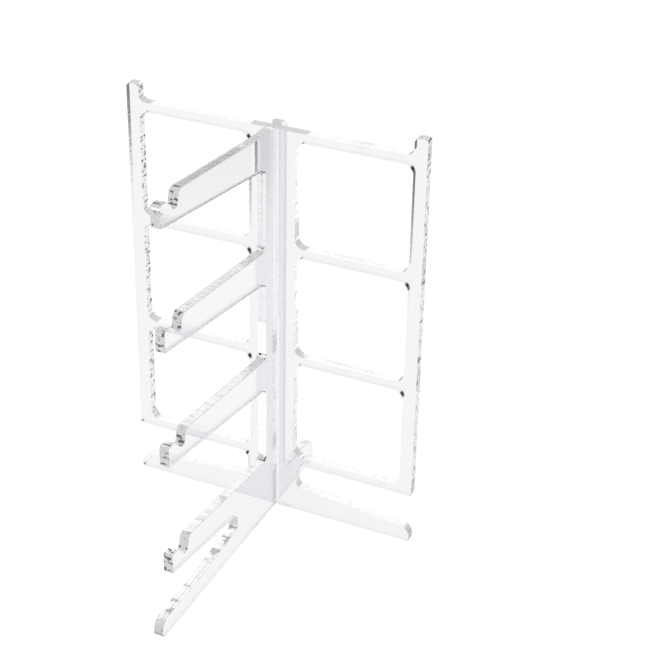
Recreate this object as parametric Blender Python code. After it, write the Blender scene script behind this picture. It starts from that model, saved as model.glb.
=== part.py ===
"""Countertop rack for four pairs of eyeglasses: two flat plates of clear acrylic, slotted and standing crossed.

The arm plate stands in the YZ plane and its arms reach forward, to -Y. The ladder plate
stands in the XZ plane and drops over it. The origin is on the floor, where the plates cross.
"""

import math

import bpy

COLLECTION_NAME = "eyeglass_display_rack"

# Sheet, and the clearance in the slots where the plates cross.
SHEET_THICKNESS = 0.005
FIT_GAP = 0.0003

# Shared by both plates.
TIERS = 4
TIER_PITCH = 0.062
COLUMN_WIDTH = 0.025

# Ladder plate: uprights, bars, prongs and side feet.
RACK_WIDTH = 0.160
UPRIGHT_WIDTH = 0.0068
BAR_WIDTH = 0.005
LOWEST_BAR_UNDERSIDE = 0.029
PRONG_HEIGHT = 0.009
PRONG_OUTER_RADIUS = 0.0015
PRONG_INNER_RADIUS = 0.002
PRONG_ROOT_RADIUS = 0.0037
UPRIGHT_END_RADIUS = 0.001
WINDOW_RADIUS = 0.005
SIDE_FOOT_INSET = 0.0019
SIDE_FOOT_ROOT_HEIGHT = 0.0148
SIDE_FOOT_TIP_HEIGHT = 0.0086
SIDE_FOOT_TIP_RADIUS = 0.0067
SIDE_FOOT_ROOT_RADIUS = 0.0035
SIDE_GAP_TOP_RADIUS = 0.004

# Arm plate: column and top.
COLUMN_SETBACK = 0.0012
COLUMN_RISE = 0.0017
COLUMN_REAR_TOP_RADIUS = 0.008
SLOT_MOUTH_RADIUS = 0.003
COLUMN_TOP_BLEND_RADIUS = 0.010

# Arm plate: arms, which rise and narrow towards the front. Each starts just above its bar.
ARM_REACH = 0.116
ARM_RISE = 0.0014
ARM_TOP_SLOPE = 0.10
ARM_TOP_ROOT_RADIUS = 0.003
ARM_ROOT_DEPTH = 0.018
ARM_UNDERSIDE_SLOPE = 0.14
ARM_UNDERSIDE_ROOT_RADIUS = 0.0045

# Nose notch near each arm's tip, measured back from the tip and down from the hook's top.
HOOK_DROP = 0.0013
HOOK_LENGTH = 0.0061
HOOK_TIP_RADIUS = 0.0012
HOOK_BACK_RADIUS = 0.0045
ARM_CHIN_RADIUS = 0.0008
NOTCH_DEPTH = 0.0064
NOTCH_RAMP_FOOT = 0.0119
NOTCH_WALL_FOOT = 0.0151
NOTCH_WALL_HEAD = 0.0167
NOTCH_RAMP_RADIUS = 0.0025
NOTCH_WALL_RADIUS = 0.002
SHOULDER_RADIUS = 0.0035

# Arm plate: front and rear feet.
FRONT_FOOT_REACH = 0.128
FRONT_FOOT_ROOT_HEIGHT = 0.0136
FRONT_FOOT_TIP_HEIGHT = 0.0103
FRONT_FOOT_LEVEL_FROM = 0.090
FRONT_FOOT_BLEND_RADIUS = 0.040
FRONT_FOOT_TIP_RADIUS = 0.0069
FRONT_FOOT_TOE_RADIUS = 0.0033
FRONT_SLOT_END = 0.0478
FRONT_SLOT_TOP_RADIUS = 0.0035
FRONT_SLOT_BOTTOM_RADIUS = 0.002
REAR_FOOT_REACH = 0.0448
REAR_FOOT_ROOT_HEIGHT = 0.0160
REAR_FOOT_TIP_HEIGHT = 0.0141
REAR_FOOT_TIP_RADIUS = 0.0056
REAR_FOOT_ROOT_RADIUS = 0.004
FOOT_SOLE_RADIUS = 0.0015

ARC_STEPS_PER_QUARTER = 10

LADDER_TOP = LOWEST_BAR_UNDERSIDE + (TIERS - 1) * TIER_PITCH + BAR_WIDTH
LAP_HEIGHT = (LADDER_TOP + PRONG_HEIGHT) / 2
SLOT_HALF_WIDTH = SHEET_THICKNESS / 2 + FIT_GAP
COLUMN_TOP = LADDER_TOP + COLUMN_RISE
COLUMN_FRONT = -COLUMN_WIDTH / 2 - COLUMN_SETBACK
COLUMN_REAR = COLUMN_WIDTH / 2 - COLUMN_SETBACK


def clear_scene():
    for obj in list(bpy.data.objects):
        bpy.data.objects.remove(obj)


def rounded(corners):
    """The points of a closed outline whose corners (across, up, radius) are rounded by arcs."""
    points = []
    for index, (across, up, radius) in enumerate(corners):
        before = corners[index - 1]
        after = corners[(index + 1) % len(corners)]
        heading_in = math.atan2(up - before[1], across - before[0])
        heading_out = math.atan2(after[1] - up, after[0] - across)
        turn = math.remainder(heading_out - heading_in, math.tau)
        if radius == 0 or turn == 0:
            points.append((across, up))
            continue
        side = math.copysign(1, turn)
        back = radius * math.tan(abs(turn) / 2)
        centre_across = across - back * math.cos(heading_in) - side * radius * math.sin(heading_in)
        centre_up = up - back * math.sin(heading_in) + side * radius * math.cos(heading_in)
        steps = max(1, math.ceil(ARC_STEPS_PER_QUARTER * abs(turn) / (math.pi / 2)))
        for step in range(steps + 1):
            heading = heading_in + turn * step / steps
            points.append((
                centre_across + side * radius * math.sin(heading),
                centre_up - side * radius * math.cos(heading),
            ))
    return points


def rectangle(left, right, bottom, top, radius):
    return [
        (left, bottom, radius),
        (right, bottom, radius),
        (right, top, radius),
        (left, top, radius),
    ]


def mirrored(corners):
    """The same corners on the other side of the middle, in the order that carries the outline on."""
    return [(-across, up, radius) for across, up, radius in reversed(corners)]


def make_plate(name, outlines, rotation, material, collection):
    """A plate of the sheet's thickness, cut along its outer outline and any holes inside it."""
    curve = bpy.data.curves.new(name, "CURVE")
    curve.dimensions = "2D"
    curve.fill_mode = "BOTH"
    curve.extrude = SHEET_THICKNESS / 2
    for corners in outlines:
        points = rounded(corners)
        spline = curve.splines.new("POLY")
        spline.points.add(len(points) - 1)
        for point, (across, up) in zip(spline.points, points):
            point.co = (across, up, 0, 1)
        spline.use_cyclic_u = True
    curve.materials.append(material)
    plate = bpy.data.objects.new(name, curve)
    plate.rotation_euler = rotation
    collection.objects.link(plate)
    return plate


def bar_underside(tier):
    return LOWEST_BAR_UNDERSIDE + tier * TIER_PITCH


def bar_top(tier):
    return bar_underside(tier) + BAR_WIDTH


def ladder_outline():
    edge = RACK_WIDTH / 2
    upright_inner = edge - UPRIGHT_WIDTH
    gap_wall = COLUMN_WIDTH / 2 + SIDE_FOOT_INSET
    prong_top = LADDER_TOP + PRONG_HEIGHT
    right_half = [
        (SLOT_HALF_WIDTH, 0, 0),
        (edge, 0, FOOT_SOLE_RADIUS),
        (edge, SIDE_FOOT_TIP_HEIGHT, SIDE_FOOT_TIP_RADIUS),
        (gap_wall, SIDE_FOOT_ROOT_HEIGHT, SIDE_FOOT_ROOT_RADIUS),
        (gap_wall, LOWEST_BAR_UNDERSIDE, SIDE_GAP_TOP_RADIUS),
        (edge, LOWEST_BAR_UNDERSIDE, UPRIGHT_END_RADIUS),
        (edge, prong_top, PRONG_OUTER_RADIUS),
        (upright_inner, prong_top, PRONG_INNER_RADIUS),
        (upright_inner, LADDER_TOP, PRONG_ROOT_RADIUS),
    ]
    slot_end = LAP_HEIGHT + FIT_GAP / 2
    slot = [(-SLOT_HALF_WIDTH, slot_end, 0), (SLOT_HALF_WIDTH, slot_end, 0)]
    return right_half + mirrored(right_half) + slot


def ladder_windows():
    """Two windows between each bar and the next, one on each side of the column."""
    near = COLUMN_WIDTH / 2
    far = RACK_WIDTH / 2 - UPRIGHT_WIDTH
    windows = []
    for tier in range(TIERS - 1):
        window = rectangle(near, far, bar_top(tier), bar_underside(tier + 1), WINDOW_RADIUS)
        windows += [window, mirrored(window)]
    return windows


def arm_top(tier, forward):
    """Height of an arm's upper edge at a distance forward of the ladder."""
    return bar_top(tier) + ARM_RISE + ARM_TOP_SLOPE * (forward + COLUMN_FRONT)


def arm_underside(tier, forward):
    """Height of an arm's lower edge at a distance forward of the ladder."""
    root = bar_top(tier) + ARM_RISE - ARM_ROOT_DEPTH
    return root + ARM_UNDERSIDE_SLOPE * (forward + COLUMN_FRONT)


def arm_tip(tier):
    """Corners of one arm's shoulder, nose notch and hook, from the top edge round to the underside."""
    shoulder = ARM_REACH - NOTCH_WALL_HEAD
    hook_top = arm_top(tier, shoulder) - HOOK_DROP
    notch_floor = hook_top - NOTCH_DEPTH
    return [
        (-shoulder, arm_top(tier, shoulder), SHOULDER_RADIUS),
        (NOTCH_WALL_FOOT - ARM_REACH, notch_floor, NOTCH_WALL_RADIUS),
        (NOTCH_RAMP_FOOT - ARM_REACH, notch_floor, NOTCH_RAMP_RADIUS),
        (HOOK_LENGTH - ARM_REACH, hook_top, HOOK_BACK_RADIUS),
        (-ARM_REACH, hook_top, HOOK_TIP_RADIUS),
        (-ARM_REACH, arm_underside(tier, ARM_REACH), ARM_CHIN_RADIUS),
    ]


def arm_root_top(tier):
    """Where an arm's upper edge meets the column, or for the highest arm the column's level top."""
    if tier < TIERS - 1:
        return [(COLUMN_FRONT, arm_top(tier, -COLUMN_FRONT), ARM_TOP_ROOT_RADIUS)]
    level_from = -COLUMN_FRONT + (COLUMN_TOP - arm_top(tier, -COLUMN_FRONT)) / ARM_TOP_SLOPE
    return [(-level_from, COLUMN_TOP, COLUMN_TOP_BLEND_RADIUS)]


def arm_root_underside(tier):
    """Where an arm's lower edge meets the column, or for the lowest arm the end of the front slot."""
    if tier > 0:
        return [(COLUMN_FRONT, arm_underside(tier, -COLUMN_FRONT), ARM_UNDERSIDE_ROOT_RADIUS)]
    return [
        (-FRONT_SLOT_END, arm_underside(tier, FRONT_SLOT_END), FRONT_SLOT_TOP_RADIUS),
        (-FRONT_SLOT_END, FRONT_FOOT_ROOT_HEIGHT, FRONT_SLOT_BOTTOM_RADIUS),
    ]


def arm_plate_outline():
    front_foot = [
        (-FRONT_FOOT_LEVEL_FROM, FRONT_FOOT_TIP_HEIGHT, FRONT_FOOT_BLEND_RADIUS),
        (-FRONT_FOOT_REACH, FRONT_FOOT_TIP_HEIGHT, FRONT_FOOT_TIP_RADIUS),
        (-FRONT_FOOT_REACH, 0, FRONT_FOOT_TOE_RADIUS),
    ]
    rear_foot = [
        (REAR_FOOT_REACH, 0, FOOT_SOLE_RADIUS),
        (REAR_FOOT_REACH, REAR_FOOT_TIP_HEIGHT, REAR_FOOT_TIP_RADIUS),
        (COLUMN_REAR, REAR_FOOT_ROOT_HEIGHT, REAR_FOOT_ROOT_RADIUS),
    ]
    slot_end = LAP_HEIGHT - FIT_GAP / 2
    top = [
        (COLUMN_REAR, COLUMN_TOP, COLUMN_REAR_TOP_RADIUS),
        (SLOT_HALF_WIDTH, COLUMN_TOP, 0),
        (SLOT_HALF_WIDTH, slot_end, 0),
        (-SLOT_HALF_WIDTH, slot_end, 0),
        (-SLOT_HALF_WIDTH, COLUMN_TOP, SLOT_MOUTH_RADIUS),
    ]
    outline = rear_foot + top
    for tier in reversed(range(TIERS)):
        outline += arm_root_top(tier) + arm_tip(tier) + arm_root_underside(tier)
    return outline + front_foot


def acrylic(name):
    material = bpy.data.materials.new(name)
    material.use_nodes = True
    shader = material.node_tree.nodes["Principled BSDF"]
    shader.inputs["Base Color"].default_value = (0.95, 0.97, 0.98, 1)
    shader.inputs["Metallic"].default_value = 0
    shader.inputs["Roughness"].default_value = 0.03
    shader.inputs["IOR"].default_value = 1.49
    shader.inputs["Transmission Weight"].default_value = 1
    return material


clear_scene()
rack = bpy.data.collections.new(COLLECTION_NAME)
bpy.context.scene.collection.children.link(rack)
QUARTER = math.pi / 2
make_plate(
    "ladder_plate",
    [ladder_outline(), *ladder_windows()],
    (QUARTER, 0, 0),
    acrylic("ladder acrylic"),
    rack,
)
make_plate(
    "arm_plate",
    [arm_plate_outline()],
    (QUARTER, 0, QUARTER),
    acrylic("arm acrylic"),
    rack,
)
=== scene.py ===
import math
from collections import namedtuple

import bpy
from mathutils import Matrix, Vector


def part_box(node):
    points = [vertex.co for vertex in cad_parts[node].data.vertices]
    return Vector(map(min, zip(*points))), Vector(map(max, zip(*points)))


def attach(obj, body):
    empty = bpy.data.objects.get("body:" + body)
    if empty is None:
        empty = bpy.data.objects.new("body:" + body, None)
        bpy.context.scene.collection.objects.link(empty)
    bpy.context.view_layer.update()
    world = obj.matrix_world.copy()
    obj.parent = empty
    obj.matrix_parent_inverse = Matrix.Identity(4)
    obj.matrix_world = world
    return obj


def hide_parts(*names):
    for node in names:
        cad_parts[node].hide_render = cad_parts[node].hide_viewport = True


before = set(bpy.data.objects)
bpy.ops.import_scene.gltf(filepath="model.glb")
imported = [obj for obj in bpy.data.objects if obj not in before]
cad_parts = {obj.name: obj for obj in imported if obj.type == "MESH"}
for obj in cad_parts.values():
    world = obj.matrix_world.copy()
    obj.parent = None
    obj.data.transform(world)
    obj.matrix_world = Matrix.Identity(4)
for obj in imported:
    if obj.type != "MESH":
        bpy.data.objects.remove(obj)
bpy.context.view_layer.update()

# Each plate's thickness direction, and the body that it rides on.
SHEET_NORMALS = {"ladder_plate": Vector((0, 1, 0)), "arm_plate": Vector((1, 0, 0))}
BODIES = {"ladder_plate": "ladder", "arm_plate": "arm_stand"}

# The broken edges between the faces and the cut walls, and the angle from which an edge is broken.
EDGE_BREAK = 0.00025
EDGE_BREAK_STEPS = 2
EDGE_ANGLE = math.radians(50)
# Corners closer than this are one corner, and faces flatter than this are one face.
WELD_DISTANCE = 0.000002
FLAT_WITHIN = math.radians(1)
NORMAL_WEIGHT = 100

ACRYLIC_TINT = (0.87, 0.868, 0.888, 1)
ACRYLIC_IOR = 1.49
# Light reflected more often than this inside a plate would end black, so the plate glows this grey:
# painted light in place of the light that the renderer stops tracing.
TRAPPED_AFTER = 3.5
TRAPPED_LIGHT_GLOW = 0.32

# What each kind of wall shows: the darkest and lightest shade of its base colour, partly the cutter's
# marks and partly painted shade, darker or lighter by where the wall lies and which way it faces;
# how deep its ridges are, and its ridges and blotches per metre.
WallMarksAndShade = namedtuple("WallMarksAndShade", "darkest lightest ridge_depth ridges blotches", defaults=(700, 420))
# Painted shade: level and upright walls are lit and shaded copies; outer, root, foot and tip walls are
# darkened.
EDGE_MARKS_AND_SHADE = {
    "ladder_plate": {
        "level": WallMarksAndShade(0.85, 1.0, 0.00003),
        "upright": WallMarksAndShade(0.55, 1.0, 0.00008),
        "outer": WallMarksAndShade(0.0, 0.75, 0.0001),
        "fillet": WallMarksAndShade(0.90, 1.0, 0.000002),
    },
    "arm_plate": {
        "level": WallMarksAndShade(0.70, 1.0, 0.00008),
        "upright": WallMarksAndShade(0.90, 1.0, 0.00004),
        "tip": WallMarksAndShade(0.02, 1.0, 0.00015),
        "root": WallMarksAndShade(0.0, 0.8, 0.0003, ridges=900, blotches=500),
        "foot": WallMarksAndShade(0.28, 1.0, 0.00012, ridges=260, blotches=180),
    },
}
# Where the walls lie that get the "outer", "tip", "root" and "foot" marks and painted shade.
OUTER_FROM = 0.079
TIP_ZONE = 0.033
ROOT_ZONE = (-0.0195, -0.0115)
FOOT_UP_TO = 0.0145
FOOT_FROM = -0.045
# How far a normal points along the thickness on a polished face, and up on a level or a slanted wall.
POLISHED_FROM = 0.9
LEVEL_FROM = 0.7
SLANTED = (0.1, 0.99)

# The noises behind the marks, and the part of their range that gives the shade and the roughness.
NOISE_DETAIL = 2
RIDGE_ROUGHNESS = 0.6
SHADE_RANGE = (0.85, 0.96)
HAZE_RANGE = (0.3, 0.7)
SMOOTHEST = 0.02
ROUGHEST = 0.2

TABLE_SIZE = 12
TABLE_DROP = 0.0002
TABLE_BODY = (0.1, 0.1, 0.1, 1)
TABLE_ROUGHNESS = 0.9
TABLE_WHITE = 0.96
# Painted shade: seen through the acrylic, the table darkens to this towards the back right.
TABLE_SHADE_SEEN_THROUGH = 0.05
FADE_TOWARDS = (0.8, 0.6, 0)
FADE_FROM = 0.26
FADE_TO = 0.43

STUDIO_WHITE = 1.0
# Heights in the room, from 0 at the horizon to 1 straight up. The dark reaches higher to the right.
ROOM_TILT = 0.25
ROOM_DARK_UP_TO = 0.18
ROOM_BRIGHT_FROM = 0.40
ROOM_DARK = 0.0

CAMERA_PLACE = (0.33828, -0.6943, 0.55671)
CAMERA_TURN = (math.radians(59.122), 0, math.radians(26.125))
LENS = 96.85
SHIFT = (0.0833, 0.0402)


def only(obj):
    """Leaves just this object selected and active."""
    bpy.ops.object.select_all(action="DESELECT")
    obj.select_set(True)
    bpy.context.view_layer.objects.active = obj


def finish_modifier(obj, kind, **settings):
    """Adds a modifier with these settings and applies it."""
    only(obj)
    modifier = obj.modifiers.new(kind.title(), kind)
    for setting, value in settings.items():
        setattr(modifier, setting, value)
    bpy.ops.object.modifier_apply(modifier=modifier.name)


def add_node(tree, kind, sockets=None, **settings):
    """Adds a shader node with these settings, and these values on its input sockets."""
    node = tree.nodes.new("ShaderNode" + kind)
    for setting, value in settings.items():
        setattr(node, setting, value)
    for socket, value in (sockets or {}).items():
        node.inputs[socket].default_value = value
    return node


def connect(tree, *wires):
    """Joins an output of one node to an input of another, for each wire."""
    for source, output, target, socket in wires:
        tree.links.new(source.outputs[output], target.inputs[socket])


# ---------------------------------------------------------------- materials


def new_material(name, sockets):
    """A material whose Principled shader has these values, returned with its tree and its shader."""
    material = bpy.data.materials.new(name)
    material.use_nodes = True
    shader = material.node_tree.nodes["Principled BSDF"]
    for socket, value in sockets.items():
        shader.inputs[socket].default_value = value
    return material, material.node_tree, shader


def build_marks_and_shade_group():
    """Ridges across a sheet's edge and blotches of haze, as a cutter leaves them, and a shade that is
    partly their marks and partly painted shade.
    """
    group = bpy.data.node_groups.new("Cut marks and painted shade", "ShaderNodeTree")
    for name in ("Place", "Place along the cut"):
        group.interface.new_socket(name, in_out="INPUT", socket_type="NodeSocketVector")
    for name in ("Ridges per metre", "Blotches per metre", "Darkest", "Lightest", "Smoothest", "Roughest"):
        group.interface.new_socket(name, in_out="INPUT", socket_type="NodeSocketFloat")
    for name, kind in (("Height", "Float"), ("Shade", "Color"), ("Roughness", "Float")):
        group.interface.new_socket(name, in_out="OUTPUT", socket_type="NodeSocket" + kind)
    inside = group.nodes.new("NodeGroupInput")
    out = group.nodes.new("NodeGroupOutput")
    ridges = add_node(group, "TexNoise", {"Detail": NOISE_DETAIL, "Roughness": RIDGE_ROUGHNESS})
    blotches = add_node(group, "TexNoise", {"Detail": NOISE_DETAIL})
    both = add_node(group, "Math", operation="ADD")
    # Partly painted shade: the noises darken the base colour down to Darkest, which each kind of wall sets
    # by its place and facing.
    shade = add_node(group, "MapRange", {"From Min": SHADE_RANGE[0], "From Max": SHADE_RANGE[1]})
    rough = add_node(group, "MapRange", {"From Min": HAZE_RANGE[0], "From Max": HAZE_RANGE[1]})
    connect(
        group,
        (inside, "Place along the cut", ridges, "Vector"),
        (inside, "Place", blotches, "Vector"),
        (inside, "Ridges per metre", ridges, "Scale"),
        (inside, "Blotches per metre", blotches, "Scale"),
        (ridges, "Fac", both, 0),
        (blotches, "Fac", both, 1),
        (both, "Value", out, "Height"),
        (both, "Value", shade, "Value"),
        (inside, "Darkest", shade, "To Min"),
        (inside, "Lightest", shade, "To Max"),
        (shade, "Result", out, "Shade"),
        (blotches, "Fac", rough, "Value"),
        (inside, "Smoothest", rough, "To Min"),
        (inside, "Roughest", rough, "To Max"),
        (rough, "Result", out, "Roughness"),
    )
    return group


def acrylic(name):
    """Clear acrylic with a faint grey body and a painted grey glow, returned with its tree and its shader.
    """
    material, tree, shader = new_material(
        name,
        {
            "Base Color": ACRYLIC_TINT,
            "Metallic": 0,
            "IOR": ACRYLIC_IOR,
            "Roughness": 0,
            "Transmission Weight": 1,
            "Emission Strength": 1,
        },
    )
    # Painted light: the acrylic glows grey where light has reflected inside it more than TRAPPED_AFTER
    # times.
    light = add_node(tree, "LightPath")
    trapped = add_node(tree, "Math", {1: TRAPPED_AFTER}, operation="GREATER_THAN")
    grey = add_node(tree, "Math", {1: TRAPPED_LIGHT_GLOW}, operation="MULTIPLY")
    connect(
        tree,
        (light, "Glossy Depth", trapped, 0),
        (trapped, "Value", grey, 0),
        (grey, "Value", shader, "Emission Color"),
    )
    return material, tree, shader


def cut_edge(name, marks_and_shade_group, thickness_axis, wall_marks_and_shade):
    """Acrylic with a cutter's marks and painted shade on it, their ridges running straight across the
    thickness.
    """
    material, tree, shader = acrylic(name)
    place = add_node(tree, "TexCoord")
    flatten = add_node(tree, "Mapping", {"Scale": [1 - abs(part) for part in thickness_axis]})
    pattern = add_node(tree, "Group", node_tree=marks_and_shade_group)
    for socket, value in (
        ("Darkest", wall_marks_and_shade.darkest),
        ("Lightest", wall_marks_and_shade.lightest),
        ("Ridges per metre", wall_marks_and_shade.ridges),
        ("Blotches per metre", wall_marks_and_shade.blotches),
        ("Smoothest", SMOOTHEST),
        ("Roughest", ROUGHEST),
    ):
        pattern.inputs[socket].default_value = value
    bump = add_node(tree, "Bump", {"Strength": 1, "Distance": wall_marks_and_shade.ridge_depth})
    connect(
        tree,
        (place, "Object", flatten, "Vector"),
        (place, "Object", pattern, "Place"),
        (flatten, "Vector", pattern, "Place along the cut"),
        (pattern, "Height", bump, "Height"),
        (pattern, "Shade", shader, "Base Color"),
        (pattern, "Roughness", shader, "Roughness"),
        (bump, "Normal", shader, "Normal"),
    )
    return material


def white_table():
    """White in the open view and in reflections; seen through the acrylic it darkens to the back right, a
    painted shade.
    """
    material, tree, shader = new_material(
        "White table",
        {
            "Base Color": TABLE_BODY,
            "Roughness": TABLE_ROUGHNESS,
            "Specular IOR Level": 0,
            "Emission Strength": 1,
        },
    )
    place = add_node(tree, "TexCoord")
    away = add_node(tree, "VectorMath", {1: FADE_TOWARDS}, operation="DOT_PRODUCT")
    # Painted shade, seen only through the acrylic: the table darkens towards the back right.
    shade_seen_through = add_node(
        tree,
        "MapRange",
        {"From Min": FADE_FROM, "From Max": FADE_TO, "To Min": TABLE_WHITE, "To Max": TABLE_SHADE_SEEN_THROUGH},
        interpolation_type="SMOOTHSTEP",
    )
    seen = add_node(tree, "LightPath")
    unfaded = add_node(tree, "Math", operation="MAXIMUM")
    plain = add_node(tree, "Mix", {"B": TABLE_WHITE})
    connect(
        tree,
        (place, "Object", away, 0),
        (away, "Value", shade_seen_through, "Value"),
        (seen, "Is Camera Ray", unfaded, 0),
        (seen, "Is Reflection Ray", unfaded, 1),
        (unfaded, "Value", plain, "Factor"),
        (shade_seen_through, "Result", plain, "A"),
        (plain, "Result", shader, "Emission Color"),
    )
    return material


# ------------------------------------------------------------------- plates


def edge_kind(node, wall, foremost):
    """Which marks and painted shade a wall of the outline gets, from where it lies and which way it faces.
    """
    place, upward = wall.center, wall.normal.z
    if node == "ladder_plate":
        if abs(place.x) > OUTER_FROM:
            return "outer"
        if SLANTED[0] < abs(upward) < SLANTED[1]:
            return "fillet"
    elif place.z < FOOT_UP_TO and place.y < FOOT_FROM:
        return "foot"
    elif place.y < foremost + TIP_ZONE:
        return "tip"
    elif ROOT_ZONE[0] < place.y < ROOT_ZONE[1] and SLANTED[0] < upward < SLANTED[1]:
        return "root"
    # Level and upright walls are lit and shaded copies of one acrylic, with different painted shade.
    return "level" if abs(upward) > LEVEL_FROM else "upright"


def plate_from(node, marks_and_shade_group):
    """The plate with its edges softly broken, its faces polished and its cut walls ridged, with marks and
    painted shade in their colour.
    """
    axis = SHEET_NORMALS[node]
    plate = bpy.data.objects.new(node.replace("_plate", "_sheet"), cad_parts[node].data.copy())
    bpy.context.scene.collection.objects.link(plate)
    plate.data.materials.clear()
    plate.data.materials.append(acrylic(node + " polished face")[0])
    slots = {}
    for slot, (kind, wall_marks_and_shade) in enumerate(EDGE_MARKS_AND_SHADE[node].items(), start=1):
        plate.data.materials.append(cut_edge(f"{node} {kind} edge", marks_and_shade_group, axis, wall_marks_and_shade))
        slots[kind] = slot
    only(plate)
    bpy.ops.object.mode_set(mode="EDIT")
    bpy.ops.mesh.select_all(action="SELECT")
    bpy.ops.mesh.remove_doubles(threshold=WELD_DISTANCE)
    bpy.ops.mesh.dissolve_limited(angle_limit=FLAT_WITHIN)
    bpy.ops.object.mode_set(mode="OBJECT")
    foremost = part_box(node)[0][1]
    # Polished faces stay clear; each cut wall gets the marks and painted shade of its kind.
    for face in plate.data.polygons:
        if abs(face.normal.dot(axis)) > POLISHED_FROM:
            face.material_index = 0
        else:
            face.material_index = slots[edge_kind(node, face, foremost)]
    finish_modifier(
        plate,
        "BEVEL",
        width=EDGE_BREAK,
        segments=EDGE_BREAK_STEPS,
        limit_method="ANGLE",
        angle_limit=EDGE_ANGLE,
    )
    bpy.ops.object.shade_smooth()
    finish_modifier(plate, "WEIGHTED_NORMAL", weight=NORMAL_WEIGHT)
    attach(plate, BODIES[node])
    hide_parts(node)


marks_and_shade_group = build_marks_and_shade_group()
for node in SHEET_NORMALS:
    plate_from(node, marks_and_shade_group)


# --------------------------------------------------- table, light and camera


def studio():
    """A room that is white overhead and dark at the horizon, but white all over in the open view."""
    world = bpy.data.worlds.new("Studio")
    bpy.context.scene.world = world
    world.use_nodes = True
    tree = world.node_tree
    place = add_node(tree, "TexCoord")
    height = add_node(tree, "VectorMath", {1: (-ROOM_TILT, 0, 1)}, operation="DOT_PRODUCT")
    room = add_node(
        tree,
        "MapRange",
        {
            "From Min": ROOM_DARK_UP_TO,
            "From Max": ROOM_BRIGHT_FROM,
            "To Min": ROOM_DARK,
            "To Max": STUDIO_WHITE,
        },
        interpolation_type="SMOOTHSTEP",
    )
    seen = add_node(tree, "LightPath")
    plain = add_node(tree, "Mix", {"B": STUDIO_WHITE})
    connect(
        tree,
        (place, "Generated", height, 0),
        (height, "Value", room, "Value"),
        (seen, "Is Camera Ray", plain, "Factor"),
        (room, "Result", plain, "A"),
        (plain, "Result", tree.nodes["Background"], "Color"),
    )


bpy.ops.object.select_all(action="DESELECT")
bpy.ops.mesh.primitive_plane_add(size=TABLE_SIZE, location=(0, 0, -TABLE_DROP))
table = bpy.context.active_object
table.name = "table"
table.data.materials.append(white_table())

studio()
bpy.context.scene.view_settings.view_transform = "Standard"

lens = bpy.data.cameras.new("Camera")
lens.lens = LENS
lens.shift_x, lens.shift_y = SHIFT
camera = bpy.data.objects.new("Camera", lens)
camera.location = CAMERA_PLACE
camera.rotation_euler = CAMERA_TURN
bpy.context.scene.collection.objects.link(camera)
bpy.context.scene.camera = camera
